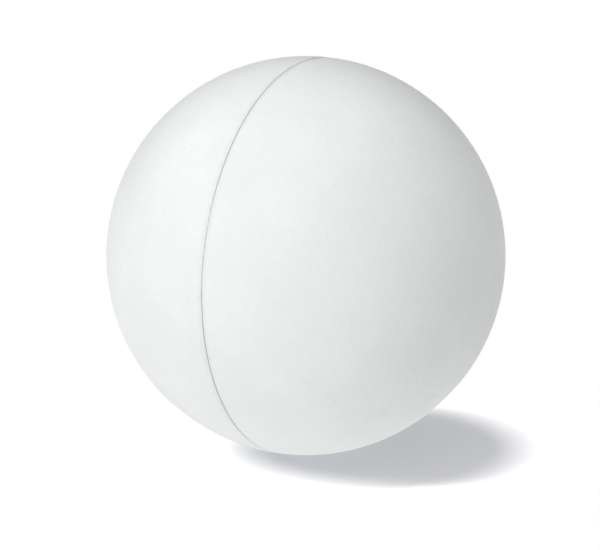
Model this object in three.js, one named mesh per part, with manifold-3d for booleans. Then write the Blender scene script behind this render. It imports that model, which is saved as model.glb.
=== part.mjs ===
// A table tennis ball of the seamed kind: two moulded celluloid half-shells meet edge to edge,
// a strip of the same sheet backs the joint inside, and cement fills what is left between them.
//
// Millimetres. The origin is the ball's centre. +X is the axis of the half-shells, so the seam
// lies in the YZ plane, and +Z is up.

import * as THREE from 'three';
import { mergeVertices } from 'three/addons/utils/BufferGeometryUtils.js';
import Module from 'manifold-3d';

// The shells.
const BALL_DIAMETER = 40;
const WALL = 0.36;

// The seam: the slot between the two rims, and the dip that the joint leaves in the outside.
const JOINT_WIDTH = 0.12;
const SINK_DEPTH = 0.04;
const SINK_HALF_WIDTH = 0.65;

// The strip inside the seam, which is cut to length, so that its ends nearly meet.
const STRIP_WIDTH = 4.0;
const STRIP_THICKNESS = 0.3;
const STRIP_END_GAP = 0.5;

// The cement: a film under the strip, and a stem that fills the joint to just below the surface.
const FILM_THICKNESS = 0.04;
const STEM_RECESS = 0.03;

// Neighbouring solids stay this far apart.
const FIT_GAP = 0.01;

// How finely round things are divided. Every solid has the same divisions, so that the flat
// facets of one surface lie parallel to those of the next.
const AROUND = 64;
const RIM_TO_POLE = 12;

const BALL_RADIUS = BALL_DIAMETER / 2;
const SHELL_INSIDE = BALL_RADIUS - WALL;
const FILM_OUTSIDE = SHELL_INSIDE - FIT_GAP;
const FILM_INSIDE = FILM_OUTSIDE - FILM_THICKNESS;
const STRIP_OUTSIDE = FILM_INSIDE - FIT_GAP;
const STRIP_INSIDE = STRIP_OUTSIDE - STRIP_THICKNESS;

// Angles from the seam's plane, seen from the centre.
const RIM = Math.asin(JOINT_WIDTH / 2 / BALL_RADIUS);
const SINK_EDGE = Math.asin(SINK_HALF_WIDTH / BALL_RADIUS);
const STRIP_EDGE = Math.asin(STRIP_WIDTH / 2 / STRIP_OUTSIDE);
const STRIP_MIDDLE = STRIP_EDGE / 2;

const wasm = await Module();
wasm.setup();

// A profile's point, at a distance from the centre and an angle from the seam's plane.
function polar(radius, angle) {
  return new THREE.Vector2(radius * Math.cos(angle), radius * Math.sin(angle));
}

// The angles at which a shell's wall is divided, from its rim to its pole.
function wallAngles() {
  const angles = [RIM, SINK_EDGE, STRIP_MIDDLE, STRIP_EDGE];
  for (let step = 1; step < RIM_TO_POLE; step += 1) {
    angles.push(THREE.MathUtils.lerp(STRIP_EDGE, Math.PI / 2, step / RIM_TO_POLE));
  }
  return angles;
}

// The angles at which the strip and its film are divided, from one edge to the other.
function stripAngles() {
  const half = [RIM, STRIP_MIDDLE, STRIP_EDGE];
  const otherHalf = half.map((angle) => -angle).reverse();
  return [...otherHalf, ...half];
}

// Turns a profile about the ball's X axis. The profile runs so that its solid is on its left.
function turned(profile) {
  const geometry = new THREE.LatheGeometry(profile, AROUND);
  geometry.rotateZ(-Math.PI / 2);
  return geometry;
}

function matte(color, roughness) {
  return new THREE.MeshStandardMaterial({ color, roughness, metalness: 0 });
}

// The half-shell on +X: a thin dome that dips a little towards its rim, cut off square.
function halfShellGeometry() {
  const angles = wallAngles();
  const inside = angles.map((angle) => polar(SHELL_INSIDE, angle));
  const outside = angles.map((angle) => polar(BALL_RADIUS, angle));
  outside[0] = polar(BALL_RADIUS - SINK_DEPTH, RIM);
  const innerPole = new THREE.Vector2(0, SHELL_INSIDE);
  const outerPole = new THREE.Vector2(0, BALL_RADIUS);
  return turned([innerPole, ...inside.reverse(), ...outside, outerPole]);
}

function rightHalfShell() {
  const mesh = new THREE.Mesh(halfShellGeometry(), matte(0xf1f4f2, 0.55));
  mesh.name = 'right_half_shell';
  return mesh;
}

// The two half-shells are one moulding, turned half round.
function leftHalfShell() {
  const mesh = new THREE.Mesh(halfShellGeometry(), matte(0xeff3f1, 0.55));
  mesh.name = 'left_half_shell';
  mesh.rotation.z = Math.PI;
  return mesh;
}

// A closed geometry as a solid that can be cut.
function solidFrom(geometry) {
  geometry.deleteAttribute('normal');
  geometry.deleteAttribute('uv');
  const merged = mergeVertices(geometry);
  const vertProperties = merged.attributes.position.array;
  const triVerts = Uint32Array.from(merged.index.array);
  return new wasm.Manifold(new wasm.Mesh({ numProp: 3, vertProperties, triVerts }));
}

// A cut solid as a geometry again.
function geometryFrom(solid) {
  const { vertProperties, triVerts } = solid.getMesh();
  const geometry = new THREE.BufferGeometry();
  geometry.setAttribute('position', new THREE.BufferAttribute(vertProperties, 3));
  geometry.setIndex(new THREE.BufferAttribute(triVerts, 1));
  geometry.computeVertexNormals();
  return geometry;
}

// A band of sheet bent round inside the seam. Its ends stop short of each other at the back.
function jointStrip() {
  const outside = stripAngles().map((angle) => polar(STRIP_OUTSIDE, angle));
  const inside = stripAngles().map((angle) => polar(STRIP_INSIDE, angle));
  const ring = solidFrom(turned([...outside, ...inside.reverse(), outside[0].clone()]));
  const slot = new THREE.BoxGeometry(STRIP_WIDTH * 2, STRIP_WIDTH, STRIP_END_GAP);
  slot.translate(0, STRIP_INSIDE, 0);
  const mesh = new THREE.Mesh(geometryFrom(ring.subtract(solidFrom(slot))), matte(0xece8dc, 0.6));
  mesh.name = 'joint_strip';
  return mesh;
}

// A ring whose section is a T: its bar is the film under the strip, its stem fills the joint.
function seamCement() {
  const stemHalfWidth = JOINT_WIDTH / 2 - FIT_GAP;
  const stemTop = BALL_RADIUS - SINK_DEPTH - STEM_RECESS;
  const outside = stripAngles().map((angle) => polar(FILM_OUTSIDE, angle));
  const inside = stripAngles().map((angle) => polar(FILM_INSIDE, angle));
  const middle = outside.length / 2;
  const stem = [
    new THREE.Vector2(FILM_OUTSIDE, -stemHalfWidth),
    new THREE.Vector2(stemTop, -stemHalfWidth),
    new THREE.Vector2(stemTop, stemHalfWidth),
    new THREE.Vector2(FILM_OUTSIDE, stemHalfWidth),
  ];
  outside.splice(middle, 0, ...stem);
  const profile = [...outside, ...inside.reverse(), outside[0].clone()];
  const mesh = new THREE.Mesh(turned(profile), matte(0xc5ccd0, 0.35));
  mesh.name = 'seam_cement';
  return mesh;
}

const ball = new THREE.Group();
ball.add(leftHalfShell());
ball.add(rightHalfShell());
ball.add(jointStrip());
ball.add(seamCement());

export default ball;
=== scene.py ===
# %% [markdown]
# # A table tennis ball, from two half-shells to the finished white
#
# The real ball is a hollow sphere of celluloid, 40 mm across, with a wall about as thick as a
# thumbnail. Two half-shells are pressed from warm sheet, trimmed, and cemented edge to edge over
# a strip of the same sheet that runs round the inside of the joint. What is left to see is a
# matt white ball with one fine grey line round it.
#
# This lesson models those four pieces one by one, gives each its finish, and lights them softly
# on a white floor. All sizes are metres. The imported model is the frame: every piece takes its
# place and size from it.

# %% Load the frame
import math

import bmesh
import bpy
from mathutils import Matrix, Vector


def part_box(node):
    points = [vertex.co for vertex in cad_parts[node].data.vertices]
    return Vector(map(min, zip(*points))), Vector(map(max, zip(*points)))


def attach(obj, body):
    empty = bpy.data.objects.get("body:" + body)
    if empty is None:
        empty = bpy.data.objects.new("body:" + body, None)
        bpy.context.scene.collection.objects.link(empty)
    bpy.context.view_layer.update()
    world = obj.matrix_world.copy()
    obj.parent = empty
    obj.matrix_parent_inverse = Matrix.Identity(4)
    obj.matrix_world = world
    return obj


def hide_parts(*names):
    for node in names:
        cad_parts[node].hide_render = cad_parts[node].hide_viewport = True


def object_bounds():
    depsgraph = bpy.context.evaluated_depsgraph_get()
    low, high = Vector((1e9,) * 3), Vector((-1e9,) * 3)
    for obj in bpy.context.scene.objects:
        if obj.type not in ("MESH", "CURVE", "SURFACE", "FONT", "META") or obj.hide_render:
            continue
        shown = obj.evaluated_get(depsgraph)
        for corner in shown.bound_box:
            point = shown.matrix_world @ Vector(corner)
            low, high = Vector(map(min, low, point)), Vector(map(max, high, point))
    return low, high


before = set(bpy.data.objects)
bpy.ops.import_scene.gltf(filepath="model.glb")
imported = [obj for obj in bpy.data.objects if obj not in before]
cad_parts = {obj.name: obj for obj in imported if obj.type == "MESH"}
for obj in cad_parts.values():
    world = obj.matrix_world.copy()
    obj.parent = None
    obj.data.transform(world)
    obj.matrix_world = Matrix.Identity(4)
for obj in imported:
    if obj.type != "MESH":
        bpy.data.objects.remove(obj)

CAD_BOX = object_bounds()
print("nodes:", sorted(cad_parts))
print("model box:", [round(side * 1000, 2) for side in CAD_BOX[1] - CAD_BOX[0]], "mm")

# %% [markdown]
# ## Sizes
#
# The axis of the two half-shells is X, so the seam is the circle where the ball meets the plane
# x = 0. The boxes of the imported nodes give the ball's radius, the width of the joint, and how far
# the strip reaches to each side of it. Only what a box can't say is written down here: how thick
# the sheet and the film of cement are, how much room is left between neighbouring pieces, and how
# deep the surface dips towards the joint.

# %% Read the sizes from the frame
MM = 0.001
SHELL_LOW, SHELL_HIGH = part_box("right_half_shell")
STRIP_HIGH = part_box("joint_strip")[1]
CEMENT_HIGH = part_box("seam_cement")[1]

BALL_RADIUS = SHELL_HIGH.x
RIM_X = SHELL_LOW.x
STRIP_REACH = STRIP_HIGH.x
STRIP_RADIUS = STRIP_HIGH.z
CEMENT_RADIUS = CEMENT_HIGH.z

WALL = 0.36 * MM
STRIP_THICKNESS = 0.3 * MM
FILM_THICKNESS = 0.04 * MM
FIT_GAP = 0.01 * MM
SINK_DEPTH = 0.04 * MM

print(f"ball {BALL_RADIUS * 2 / MM:.1f} mm across, joint {RIM_X * 2 / MM:.2f} mm wide")

# %% [markdown]
# ## The camera
#
# The camera looks at the ball from a little above, 35 ball radii away, through a long lens, so
# that nearly half of the ball shows. It is turned so that most of that is the right half-shell,
# and the seam runs down the left. A small shift of the lens puts the ball a little above and to
# the right of the middle of the view, with room for its shadow.

# %% Place the camera
CAMERA_AZIMUTH = 30.8
CAMERA_ELEVATION = 13.2
CAMERA_DISTANCE = 35 * BALL_RADIUS


def direction(azimuth, elevation):
    """The unit vector towards a place round the ball: azimuth 0 is -Y, and 90 is +X."""
    turn, rise = math.radians(azimuth), math.radians(elevation)
    flat = math.cos(rise)
    return Vector((math.sin(turn) * flat, -math.cos(turn) * flat, math.sin(rise)))


camera_data = bpy.data.cameras.new("camera")
camera_data.sensor_width = 36
camera_data.lens = 419
camera_data.shift_x = -0.01
camera_data.shift_y = -0.0324
camera_data.clip_start = 0.01
camera_data.clip_end = 10
camera = bpy.data.objects.new("camera", camera_data)
camera.location = direction(CAMERA_AZIMUTH, CAMERA_ELEVATION) * CAMERA_DISTANCE
camera.rotation_euler = camera.location.to_track_quat("Z", "Y").to_euler()
bpy.context.scene.collection.objects.link(camera)
bpy.context.scene.camera = camera
print("camera at", [round(part, 3) for part in camera.location])

# %% [markdown]
# ## A sphere to start from
#
# Every piece of this ball lies on a sphere round the same centre, so they all start as the same
# primitive. A UV sphere has rings, and its rings should run along the seam: so its poles are
# turned onto the X axis before any cutting. A cube blown up to a sphere has evener faces, but
# its edges would cross the seam at every angle.
#
# The helpers below pick faces and edges by their place, as one would by dragging a box round
# them in the viewport.

# %% Helpers for modelling
AROUND = 192
RINGS = 90
SAME_PLACE = 1e-7


def start_sphere(name, radius):
    """A sphere whose poles are on the X axis, in edit mode, with nothing else selected."""
    bpy.ops.object.select_all(action="DESELECT")
    bpy.ops.mesh.primitive_uv_sphere_add(segments=AROUND, ring_count=RINGS, radius=radius)
    piece = bpy.context.object
    piece.name = name
    piece.data.name = name
    piece.rotation_euler = (0, math.radians(90), 0)
    bpy.ops.object.transform_apply(location=False, rotation=True, scale=False)
    bpy.ops.object.mode_set(mode="EDIT")
    return piece


def cut_at(x, keep=0):
    """Cuts all round at a height along X. keep 1 throws away what is below it, -1 what is above."""
    bpy.ops.mesh.select_all(action="SELECT")
    bpy.ops.mesh.bisect(
        plane_co=(x, 0, 0),
        plane_no=(1, 0, 0),
        clear_inner=keep > 0,
        clear_outer=keep < 0,
        threshold=SAME_PLACE,
    )


def select(piece, kind, test):
    """In edit mode, selects the verts, edges or faces whose corners all pass the test."""
    bpy.ops.mesh.select_mode(type=kind)
    bpy.ops.mesh.select_all(action="DESELECT")
    mesh = bmesh.from_edit_mesh(piece.data)
    elements = {"VERT": mesh.verts, "EDGE": mesh.edges, "FACE": mesh.faces}[kind]
    count = 0
    for element in elements:
        corners = [element] if kind == "VERT" else element.verts
        if all(test(corner.co) for corner in corners):
            element.select_set(True)
            count += 1
    mesh.select_flush_mode()
    bmesh.update_edit_mesh(piece.data)
    return count


def apply_modifier(piece, kind, **settings):
    """Adds a modifier with these settings and applies it, from object mode."""
    modifier = piece.modifiers.new(kind.lower(), kind)
    for setting, value in settings.items():
        setattr(modifier, setting, value)
    bpy.ops.object.modifier_apply(modifier=modifier.name)


def from_axis(place):
    """How far a point is from the X axis."""
    return math.hypot(place.y, place.z)


def report(piece):
    """Says how big a finished piece is."""
    triangles = sum(len(face.vertices) - 2 for face in piece.data.polygons)
    sides = [round(side / MM, 2) for side in piece.dimensions]
    print(f"{piece.name}: {sides} mm, {triangles} triangles")


# %% [markdown]
# ## The half-shells
#
# On the real ball each half-shell is a disc of sheet pressed into a dome. It is very nearly half
# a true sphere, except close to its rim: when the cement dries it draws the joint in, and leaves
# a shallow dip that shows as a soft band beside the line.
#
# A half-shell could be spun from a drawn profile. Cutting a sphere is shorter, and it puts edge
# loops where they are needed: one cut makes the rim, and a few more beside it give the dip
# something to bend at. Cut points lie on the flat faces, so a Cast modifier brings them back to
# the true sphere. Solidify then grows the wall inwards, and a small bevel rounds the rim.

# %% Model the half-shells
DIP_CUTS = 6
DIP_EDGE_X = BALL_RADIUS * math.sin(math.pi / RINGS)
RIM_ROUNDING = 0.03 * MM


def dip_at(x):
    """How far the surface has sunk at a distance from the seam's plane."""
    share = (abs(x) - RIM_X) / (DIP_EDGE_X - RIM_X)
    return SINK_DEPTH * (0.5 + 0.5 * math.cos(math.pi * min(max(share, 0), 1)))


def half_shell(name, side):
    """One dome. side is 1 for the one on +X and -1 for the one on -X."""
    shell = start_sphere(name, BALL_RADIUS)
    cut_at(side * RIM_X, keep=side)
    dip_step = (DIP_EDGE_X - RIM_X) / DIP_CUTS
    for cut in range(1, DIP_CUTS):
        cut_at(side * (RIM_X + cut * dip_step))
    bpy.ops.object.mode_set(mode="OBJECT")
    apply_modifier(shell, "CAST", cast_type="SPHERE", factor=1, size=BALL_RADIUS,
                   use_radius_as_size=False, radius=0)
    apply_modifier(shell, "SOLIDIFY", thickness=WALL, offset=-1, use_even_offset=True)
    bpy.ops.object.mode_set(mode="EDIT")
    for cut in range(DIP_CUTS):
        ring_x = RIM_X + cut * dip_step
        select(shell, "VERT", lambda corner: abs(abs(corner.x) - ring_x) < dip_step / 4
               and corner.length > BALL_RADIUS - WALL / 2)
        shrink = 1 - dip_at(ring_x) / BALL_RADIUS
        bpy.ops.transform.resize(value=(1, shrink, shrink))
    outer_rim = select(shell, "EDGE", lambda corner: abs(corner.x) < RIM_X + dip_step / 4
                       and from_axis(corner) > BALL_RADIUS - WALL / 2)
    bpy.ops.mesh.bevel(offset=RIM_ROUNDING, segments=3, affect="EDGES")
    bpy.ops.mesh.select_all(action="SELECT")
    bpy.ops.mesh.normals_make_consistent(inside=False)
    bpy.ops.object.mode_set(mode="OBJECT")
    bpy.ops.object.shade_smooth_by_angle(angle=math.radians(40))
    print(f"{name}: {outer_rim} rim edges rounded")
    return shell


left_shell = half_shell("left_shell", -1)
right_shell = half_shell("right_shell", 1)
report(left_shell)
report(right_shell)

# %% [markdown]
# ## The strip inside the joint
#
# The strip is cut from flat sheet, bent round inside, and cemented across the joint. It can't be
# seen from outside, but it is what makes the ball stiff enough to bounce true at its seam. Its
# two ends nearly meet at the back.
#
# It starts as the same sphere, a little smaller. Two cuts leave a band, two more across the back
# free the piece between the ends, and Solidify gives it the thickness of the sheet.

# %% Model the strip
STRIP_END_GAP = 0.5 * MM
SHEET_EDGE = 0.04 * MM


def band(name, radius):
    """A band of the sphere as wide as the strip, in edit mode."""
    piece = start_sphere(name, radius)
    cut_at(-STRIP_REACH, keep=1)
    cut_at(STRIP_REACH, keep=-1)
    bpy.ops.object.mode_set(mode="OBJECT")
    apply_modifier(piece, "CAST", cast_type="SPHERE", factor=1, size=radius,
                   use_radius_as_size=False, radius=0)
    bpy.ops.object.mode_set(mode="EDIT")
    return piece


def joint_strip():
    """The band of sheet, open at the back."""
    strip = band("inner_strip", STRIP_RADIUS)
    for end in (-1, 1):
        select(strip, "FACE", lambda corner: corner.y > 0)
        bpy.ops.mesh.bisect(plane_co=(0, 0, end * STRIP_END_GAP / 2), plane_no=(0, 0, 1))
    select(strip, "FACE", lambda corner: corner.y > 0
           and abs(corner.z) < STRIP_END_GAP / 2 + SAME_PLACE)
    bpy.ops.mesh.delete(type="FACE")
    bpy.ops.object.mode_set(mode="OBJECT")
    apply_modifier(strip, "SOLIDIFY", thickness=STRIP_THICKNESS, offset=-1, use_even_offset=True)
    apply_modifier(strip, "BEVEL", width=SHEET_EDGE, segments=2, limit_method="ANGLE",
                   angle_limit=math.radians(60))
    bpy.ops.object.shade_smooth_by_angle(angle=math.radians(40))
    return strip


inner_strip = joint_strip()
report(inner_strip)

# %% [markdown]
# ## The cement
#
# Cement is brushed on wet. It spreads as a film under the strip and is squeezed up between the
# two rims, where it dries a little below the surface. That sunk line, with a shadow in it, is
# the seam that one sees.
#
# The film is the band once more, only thinner. The middle faces of its outer side are pulled out
# to fill the joint, which makes the ring's section a T. The top of the stem is then inset and
# pressed in, because drying cement leaves a hollow between its edges.

# %% Model the cement
HOLLOW_DEPTH = 0.012 * MM


def seam_cement():
    """The film under the strip, with a stem that fills the joint."""
    film_outside = BALL_RADIUS - WALL - FIT_GAP
    stem_half_width = RIM_X - FIT_GAP
    cement = band("cement_bead", film_outside)
    cut_at(-stem_half_width)
    cut_at(stem_half_width)
    bpy.ops.object.mode_set(mode="OBJECT")
    apply_modifier(cement, "SOLIDIFY", thickness=FILM_THICKNESS, offset=-1, use_even_offset=True)
    bpy.ops.object.mode_set(mode="EDIT")
    middle = select(cement, "FACE", lambda corner: abs(corner.x) < stem_half_width + SAME_PLACE
                    and corner.length > film_outside - FILM_THICKNESS / 2)
    bpy.ops.mesh.extrude_region_shrink_fatten(
        TRANSFORM_OT_shrink_fatten={"value": CEMENT_RADIUS - film_outside}
    )
    bpy.ops.mesh.inset(thickness=stem_half_width / 3, depth=-HOLLOW_DEPTH, use_even_offset=True)
    bpy.ops.mesh.select_all(action="SELECT")
    bpy.ops.mesh.normals_make_consistent(inside=False)
    bpy.ops.object.mode_set(mode="OBJECT")
    bpy.ops.object.shade_smooth_by_angle(angle=math.radians(50))
    print(f"cement_bead: stem pulled out of {middle} faces")
    return cement


cement_bead = seam_cement()
report(cement_bead)

# %% [markdown]
# ## Building a finish
#
# Each finish is a small tree of nodes under one Principled BSDF. They all read Object
# coordinates, which are metres on the ball itself, so a grain of a fifth of a millimetre is a
# noise of scale 5000. What is the same all over is set on the shader; only what varies is wired.

# %% Helpers for finishes
class Finish:
    """A material, its shader, and short ways to add and wire nodes."""

    def __init__(self, name):
        self.material = bpy.data.materials.new(name)
        self.material.use_nodes = True
        self.nodes = self.material.node_tree.nodes
        self.links = self.material.node_tree.links
        self.shader = self.nodes["Principled BSDF"]
        self.place = self.node("ShaderNodeTexCoord").outputs["Object"]

    def node(self, kind, **settings):
        made = self.nodes.new(kind)
        for setting, value in settings.items():
            setattr(made, setting, value)
        return made

    def wire(self, source, target):
        self.links.new(source, target)

    def noise(self, scale, detail=2, roughness=0.5):
        """Cloudy noise. Its value is near 0.5 and seldom leaves 0.25 to 0.75."""
        made = self.node("ShaderNodeTexNoise")
        made.inputs["Scale"].default_value = scale
        made.inputs["Detail"].default_value = detail
        made.inputs["Roughness"].default_value = roughness
        self.wire(self.place, made.inputs["Vector"])
        return made.outputs["Fac"]

    def spread(self, value, low, high, to_low=0, to_high=1):
        """Maps a range of values onto another, and holds them at its ends."""
        made = self.node("ShaderNodeMapRange")
        ends = {"From Min": low, "From Max": high, "To Min": to_low, "To Max": to_high}
        for end, number in ends.items():
            made.inputs[end].default_value = number
        self.wire(value, made.inputs["Value"])
        return made.outputs["Result"]

    def math(self, operation, first, second):
        made = self.node("ShaderNodeMath", operation=operation)
        for socket, value in zip(made.inputs, (first, second)):
            if isinstance(value, (int, float)):
                socket.default_value = value
            else:
                self.wire(value, socket)
        return made.outputs["Value"]

    def blend(self, share, first, second):
        """Mixes two colours."""
        made = self.node("ShaderNodeMix", data_type="RGBA")
        for name, color in (("A", first), ("B", second)):
            socket = [s for s in made.inputs if s.name == name and s.type == "RGBA"][0]
            if isinstance(color, tuple):
                socket.default_value = (*color, 1)
            else:
                self.wire(color, socket)
        self.wire(share, made.inputs["Factor"])
        return [s for s in made.outputs if s.type == "RGBA"][0]

    def bump(self, height, distance, strength, under=None):
        """Raises the surface by a height from 0 to 1, times a distance in metres."""
        made = self.node("ShaderNodeBump")
        made.inputs["Distance"].default_value = distance
        made.inputs["Strength"].default_value = strength
        self.wire(height, made.inputs["Height"])
        if under:
            self.wire(under, made.inputs["Normal"])
        return made.outputs["Normal"]


# %% [markdown]
# ## Matt celluloid
#
# The white of the shells is pigment right through the sheet, so it has no coat and nothing to
# wear off. The balls are tumbled after they are cemented, which leaves an even, very fine grain:
# it breaks up the highlight and gives the white its softness. Looked at closely there are also
# slow clouds in the white, an orange peel with a faint speckle to it, and here and there a
# pinhole. Beside the joint the white is darkened in a thin band of painted shade, the shade of
# the joint's groove, and near the top of the ball a patch of painted shade is darker still.
#
# The clouds, the peel and the grain are bumps, one on top of the other, and the first two shade
# the white as well. The pinholes come from the distance to the nearest of a set of scattered
# points, and fewer than half of the points are used. The painted shade fades with the distance
# from the joint, and its darker patch with the distance from one point near the top.

# %% Make the shells' finish
# How coarse each pattern is, how high it stands, and how much it shades the white.
GRAIN = 0.22 * MM
GRAIN_HEIGHT = 0.004 * MM
PEEL = 0.5 * MM
PEEL_HEIGHT = 0.042 * MM
PEEL_SHADE = 0.42
CLOUD = 7 * MM
CLOUD_HEIGHT = 0.02 * MM
CLOUD_SHADE = 0.8

PINHOLE_SPACING = 2.4 * MM
PINHOLE_RADIUS = 0.14 * MM
PINHOLE_FLAT_SHARE = 0.4
PINHOLE_DEPTH = 0.02 * MM
PINHOLES_LEFT_OUT = 0.6

# Painted shade: a band along the joint, and a darker patch of it near the top of the ball.
JOINT_SHADE_WIDTH = 0.6 * MM
JOINT_SHADE_STRENGTH = 0.25
TOP_SHADE_SPOT = Vector((0, 2.5, 19.8)) * MM
TOP_SHADE_RADIUS = 2.5 * MM
TOP_SHADE_WIDTH = 0.9 * MM

# How much of the noise's range a pattern uses: the narrower, the crisper it looks.
CRISP = (0.35, 0.65)
SOFT = (0.3, 0.7)

# What the white is multiplied by in a cloud, in a pinhole and under the painted shade.
IN_CLOUD = (0.955, 0.955, 0.955)
IN_PINHOLE = (0.88, 0.885, 0.89)
UNDER_PAINTED_SHADE = (0.58, 0.64, 0.69)

SHELL_ROUGHNESS = (0.46, 0.6)


def tinted(color, tint):
    """A colour times a tint."""
    return tuple(part * share for part, share in zip(color, tint))


def pinholes(finish):
    """1 on the flat bottom of a pinhole and 0 outside."""
    cells = finish.node("ShaderNodeTexVoronoi")
    cells.inputs["Scale"].default_value = 1 / PINHOLE_SPACING
    finish.wire(finish.place, cells.inputs["Vector"])
    size = PINHOLE_RADIUS / PINHOLE_SPACING
    hole = finish.spread(cells.outputs["Distance"], size * PINHOLE_FLAT_SHARE, size, 1, 0)
    lottery = finish.node("ShaderNodeSeparateColor")
    finish.wire(cells.outputs["Color"], lottery.inputs["Color"])
    drawn = finish.math("GREATER_THAN", lottery.outputs["Red"], PINHOLES_LEFT_OUT)
    return finish.math("MULTIPLY", hole, drawn)


def painted_joint_shade(finish, patches):
    """Painted shade on the shell: some along the joint, fading out, and more near the top."""
    place = finish.node("ShaderNodeSeparateXYZ")
    finish.wire(finish.place, place.inputs["Vector"])
    from_joint = finish.math("ABSOLUTE", place.outputs["X"], 0)
    near = finish.spread(from_joint, RIM_X, JOINT_SHADE_WIDTH, 1, 0)
    along_joint = finish.math("MULTIPLY", near, finish.spread(patches, *SOFT, to_low=0.5))
    from_top_spot = finish.node("ShaderNodeVectorMath", operation="DISTANCE")
    finish.wire(finish.place, from_top_spot.inputs[0])
    from_top_spot.inputs[1].default_value = TOP_SHADE_SPOT
    top_spot = finish.spread(from_top_spot.outputs["Value"], 0, TOP_SHADE_RADIUS, 1, 0)
    beside = finish.spread(from_joint, RIM_X, TOP_SHADE_WIDTH, 2, 0)
    painted = finish.math("ADD", along_joint, finish.math("MULTIPLY", top_spot, beside))
    return finish.math("MULTIPLY", painted, JOINT_SHADE_STRENGTH)


def matt_celluloid(name, white):
    """The finish of a half-shell."""
    finish = Finish(name)
    cloud = finish.noise(1 / CLOUD, detail=3)
    grain = finish.noise(1 / GRAIN, detail=4, roughness=0.6)
    peel = finish.noise(1 / PEEL, detail=2)
    hole = pinholes(finish)
    broad = finish.spread(cloud, *CRISP, to_high=CLOUD_SHADE)
    speckled = finish.math("ADD", broad, finish.spread(peel, *CRISP, to_high=PEEL_SHADE))
    clouded = finish.blend(speckled, white, tinted(white, IN_CLOUD))
    dusty = finish.blend(hole, clouded, tinted(white, IN_PINHOLE))
    # Painted shade beside the joint and near the top darkens the white here.
    joint_shaded = finish.blend(painted_joint_shade(finish, peel), dusty, tinted(white, UNDER_PAINTED_SHADE))
    finish.wire(joint_shaded, finish.shader.inputs["Base Color"])
    both = finish.math("ADD", grain, cloud)
    roughness = finish.spread(both, 2 * CRISP[0], 2 * CRISP[1], *SHELL_ROUGHNESS)
    finish.wire(roughness, finish.shader.inputs["Roughness"])
    waved = finish.bump(cloud, CLOUD_HEIGHT, strength=0.6)
    peeled = finish.bump(peel, PEEL_HEIGHT, strength=1, under=waved)
    grained = finish.bump(grain, GRAIN_HEIGHT, strength=0.8, under=peeled)
    around_hole = finish.math("SUBTRACT", 1, hole)
    pitted = finish.bump(around_hole, PINHOLE_DEPTH, strength=0.8, under=grained)
    finish.wire(pitted, finish.shader.inputs["Normal"])
    finish.shader.inputs["IOR"].default_value = 1.5
    finish.shader.inputs["Specular IOR Level"].default_value = 0.42
    return finish.material


# The two halves are pressed from different sheets, and one is a touch cooler.
left_shell.data.materials.append(matt_celluloid("matt_celluloid_left", (0.81, 0.835, 0.825)))
right_shell.data.materials.append(matt_celluloid("matt_celluloid_right", (0.815, 0.835, 0.825)))
print("finishes:", left_shell.data.materials[0].name, right_shell.data.materials[0].name)

# %% [markdown]
# ## Bare sheet, and cement
#
# The strip is the same celluloid before any tumbling: smoother, a little yellow, with faint lines
# from the rollers. The cement dries clear and hard, takes up dust while it is tacky, and looks
# blue-grey in the joint. A little above the middle of the ball it carries a painted highlight,
# paler and less blue, so its colour is blended by the height on the ball.

# %% Make the strip's and the cement's finishes
# At this scale the bands of the wave texture are about 3 mm apart.
ROLLER_LINE_SCALE = 100
ROLLER_LINE_HEIGHT = 0.004 * MM
SHEET_PALE = (0.8, 0.77, 0.67)
SHEET_DEEP = (0.74, 0.7, 0.58)
SHEET_ROUGHNESS = (0.3, 0.42)

DUST = 0.3 * MM
DUST_HEIGHT = 0.006 * MM
THICK_DUST = (0.4, 0.7)
DUST_SHADE = 0.5
CEMENT_CLOUD_SHADE = 0.3
CEMENT_CLEAR = (0.41, 0.46, 0.51)
# A painted highlight on the cement, a little above the middle of the ball.
CEMENT_PAINTED_HIGHLIGHT = (0.68, 0.66, 0.665)
CEMENT_CLOUDED = (0.38, 0.42, 0.47)
CEMENT_DUSTY = (0.33, 0.36, 0.4)
CEMENT_ROUGHNESS = (0.3, 0.55)
PAINTED_HIGHLIGHT_HEIGHT = 5 * MM
PAINTED_HIGHLIGHT_EDGE = (3.5 * MM, 8 * MM)


def bare_sheet():
    """The finish of the strip."""
    finish = Finish("bare_sheet")
    cloud = finish.noise(1 / CLOUD, detail=3)
    lines = finish.node("ShaderNodeTexWave", wave_type="BANDS", bands_direction="X")
    lines.inputs["Scale"].default_value = ROLLER_LINE_SCALE
    lines.inputs["Distortion"].default_value = 1.5
    finish.wire(finish.place, lines.inputs["Vector"])
    color = finish.blend(cloud, SHEET_PALE, SHEET_DEEP)
    finish.wire(color, finish.shader.inputs["Base Color"])
    roughness = finish.spread(cloud, *SOFT, *SHEET_ROUGHNESS)
    finish.wire(roughness, finish.shader.inputs["Roughness"])
    rolled = finish.bump(lines.outputs["Fac"], ROLLER_LINE_HEIGHT, strength=0.5)
    finish.wire(rolled, finish.shader.inputs["Normal"])
    return finish.material


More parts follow.
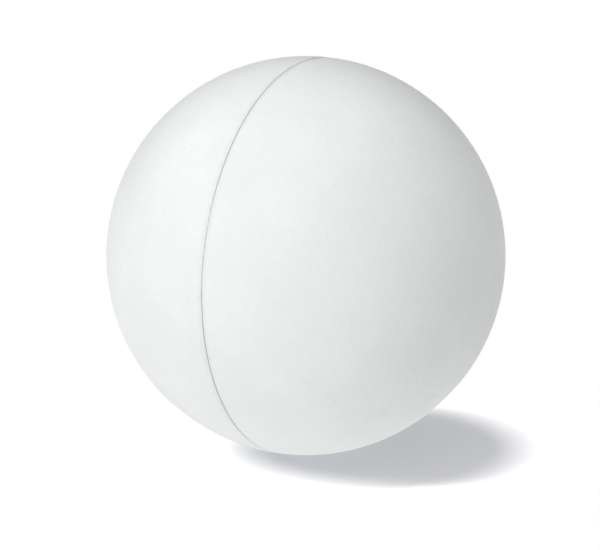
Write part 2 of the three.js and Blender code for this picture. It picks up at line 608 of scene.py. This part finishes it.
def dried_cement():
    """The finish of the cement."""
    finish = Finish("dried_cement")
    dust = finish.noise(1 / DUST, detail=3)
    cloud = finish.noise(1 / CLOUD)
    place = finish.node("ShaderNodeSeparateXYZ")
    finish.wire(finish.place, place.inputs["Vector"])
    # The painted highlight: paler cement near one height on the ball.
    height = finish.math("SUBTRACT", place.outputs["Z"], PAINTED_HIGHLIGHT_HEIGHT)
    away = finish.spread(finish.math("ABSOLUTE", height, 0), *PAINTED_HIGHLIGHT_EDGE)
    highlit = finish.blend(away, CEMENT_PAINTED_HIGHLIGHT, CEMENT_CLEAR)
    clouding = finish.spread(cloud, *CRISP, to_high=CEMENT_CLOUD_SHADE)
    clouded = finish.blend(clouding, highlit, CEMENT_CLOUDED)
    dusting = finish.spread(dust, *THICK_DUST, to_high=DUST_SHADE)
    dusty = finish.blend(dusting, clouded, CEMENT_DUSTY)
    finish.wire(dusty, finish.shader.inputs["Base Color"])
    roughness = finish.spread(dust, *SOFT, *CEMENT_ROUGHNESS)
    finish.wire(roughness, finish.shader.inputs["Roughness"])
    gritty = finish.bump(dust, DUST_HEIGHT, strength=0.6)
    finish.wire(gritty, finish.shader.inputs["Normal"])
    return finish.material


inner_strip.data.materials.append(bare_sheet())
cement_bead.data.materials.append(dried_cement())
print("finishes:", inner_strip.data.materials[0].name, cement_bead.data.materials[0].name)

# %% [markdown]
# ## Putting it together
#
# Nothing on the ball moves by itself, so all four pieces ride on its one body. Each stands for
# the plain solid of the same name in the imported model, and takes its slot.

# %% Join the pieces to the frame
STANDS_FOR = {
    "left_half_shell": left_shell,
    "right_half_shell": right_shell,
    "joint_strip": inner_strip,
    "seam_cement": cement_bead,
}
for node, piece in STANDS_FOR.items():
    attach(piece, "root")
    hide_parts(node)
print("pieces:", [piece.name for piece in STANDS_FOR.values()])

# %% [markdown]
# ## The floor
#
# The ball lies on a white table, so wide that its edge is never seen. The table has a lamp of
# its own, so strong that it stays pure white until nearly the whole lamp is hidden behind the
# ball. What is left grey is a small, clear shadow.
#
# The ball must not be bleached by that lamp, so it lights only the table, and a Light Path node
# gives the table two faces: to the camera it is the lit white ground, and to the ball it is an
# even white glow from below. Round the shadow the lamp's pool fades into a plain white that is
# no brighter than white, because a ground far brighter than the ball eats into its outline.

# %% Lay the floor
FLOOR_RADIUS = 3.0
TABLE_WHITE = 0.15
GLOW_TO_CAMERA = 0.425
GLOW_TO_BALL = 0.972
SHADOW_TINT = (0.98, 0.99, 1.04)
LAMP_AZIMUTH = CAMERA_AZIMUTH - 84.8
POOL_CENTRE = direction(LAMP_AZIMUTH + 180, 0) * 7 * MM
POOL_EDGE = (20 * MM, 27 * MM)


def white_table():
    """A round white floor that touches the ball's lowest point."""
    bpy.ops.object.select_all(action="DESELECT")
    bpy.ops.mesh.primitive_circle_add(
        vertices=96, radius=FLOOR_RADIUS, fill_type="NGON", location=(0, 0, CAD_BOX[0].z)
    )
    table = bpy.context.object
    table.name = "white_table"
    finish = Finish("white_table")
    seen = finish.node("ShaderNodeLightPath").outputs["Is Camera Ray"]
    from_shadow = finish.node("ShaderNodeVectorMath", operation="DISTANCE")
    finish.wire(finish.place, from_shadow.inputs[0])
    from_shadow.inputs[1].default_value = POOL_CENTRE
    far = finish.spread(from_shadow.outputs["Value"], *POOL_EDGE)
    lit = finish.blend(far, (TABLE_WHITE,) * 3, (0, 0, 0))
    shadow = tinted((GLOW_TO_CAMERA,) * 3, SHADOW_TINT)
    white = finish.blend(seen, (0, 0, 0), lit)
    glow = finish.blend(seen, (GLOW_TO_BALL,) * 3, finish.blend(far, shadow, (1, 1, 1)))
    finish.wire(white, finish.shader.inputs["Base Color"])
    finish.wire(glow, finish.shader.inputs["Emission Color"])
    finish.shader.inputs["Roughness"].default_value = 1
    finish.shader.inputs["Specular IOR Level"].default_value = 0
    finish.shader.inputs["Emission Strength"].default_value = 1
    table.data.materials.append(finish.material)
    return table


floor = white_table()
print("floor at", round(floor.location.z / MM, 2), "mm")

# %% [markdown]
# ## The light
#
# A matt white ball is a chart of the light that falls on it. Four round soft lights make this
# one: a key low on the left, a fill high and a little to the right, and two weaker ones that keep
# the edges from going dark, one high behind on the right and one at the left side. The table's
# glow lights the underside.
#
# The table lamp is a tall panel high on the left, and throws the shadow to the right. It is
# narrow, which keeps the long sides of the shadow crisp, and tall, which shortens the shadow and
# softens its far end. Azimuths are written as the camera's plus so many degrees to its right.
# The world behind the table is white to the camera alone, and lights nothing.

# %% Hang the lights
LIGHT_DISTANCE = 0.6


def soft_box(name, azimuth, elevation, spread, share, height=None):
    """A light that looks at the ball: round, or an upright rectangle where a height is given.
    spread and height are half angles as the ball sees them, across and up. share is how bright
    the light makes a white surface that faces it."""
    data = bpy.data.lights.new(name, "AREA")
    data.shape = "RECTANGLE" if height else "DISK"
    data.size = 2 * LIGHT_DISTANCE * math.tan(math.radians(spread))
    data.size_y = 2 * LIGHT_DISTANCE * math.tan(math.radians(height or spread))
    data.energy = share * (math.pi * LIGHT_DISTANCE) ** 2
    light = bpy.data.objects.new(name, data)
    light.location = direction(azimuth, elevation) * LIGHT_DISTANCE
    light.rotation_euler = light.location.to_track_quat("Z", "Y").to_euler()
    bpy.context.scene.collection.objects.link(light)
    return light


table_lamp = soft_box("table_lamp", azimuth=LAMP_AZIMUTH, elevation=57.6, spread=14.3,
                      height=36.5, share=27.9)
only_table = bpy.data.collections.new("only_table")
only_table.objects.link(floor)
table_lamp.light_linking.receiver_collection = only_table

soft_box("key", azimuth=CAMERA_AZIMUTH - 38, elevation=22, spread=22, share=0.555)
soft_box("fill", azimuth=CAMERA_AZIMUTH + 22, elevation=62, spread=25, share=0.514)
soft_box("right_back", azimuth=CAMERA_AZIMUTH + 132, elevation=60, spread=25, share=0.32)
soft_box("left_back", azimuth=CAMERA_AZIMUTH - 110, elevation=32, spread=22, share=0.31)

world = bpy.data.worlds.new("white_world")
world.use_nodes = True
background = world.node_tree.nodes["Background"]
background.inputs["Color"].default_value = (1, 1, 1, 1)
seen = world.node_tree.nodes.new("ShaderNodeLightPath").outputs["Is Camera Ray"]
world.node_tree.links.new(seen, background.inputs["Strength"])
bpy.context.scene.world = world
bpy.context.scene.view_settings.view_transform = "Standard"
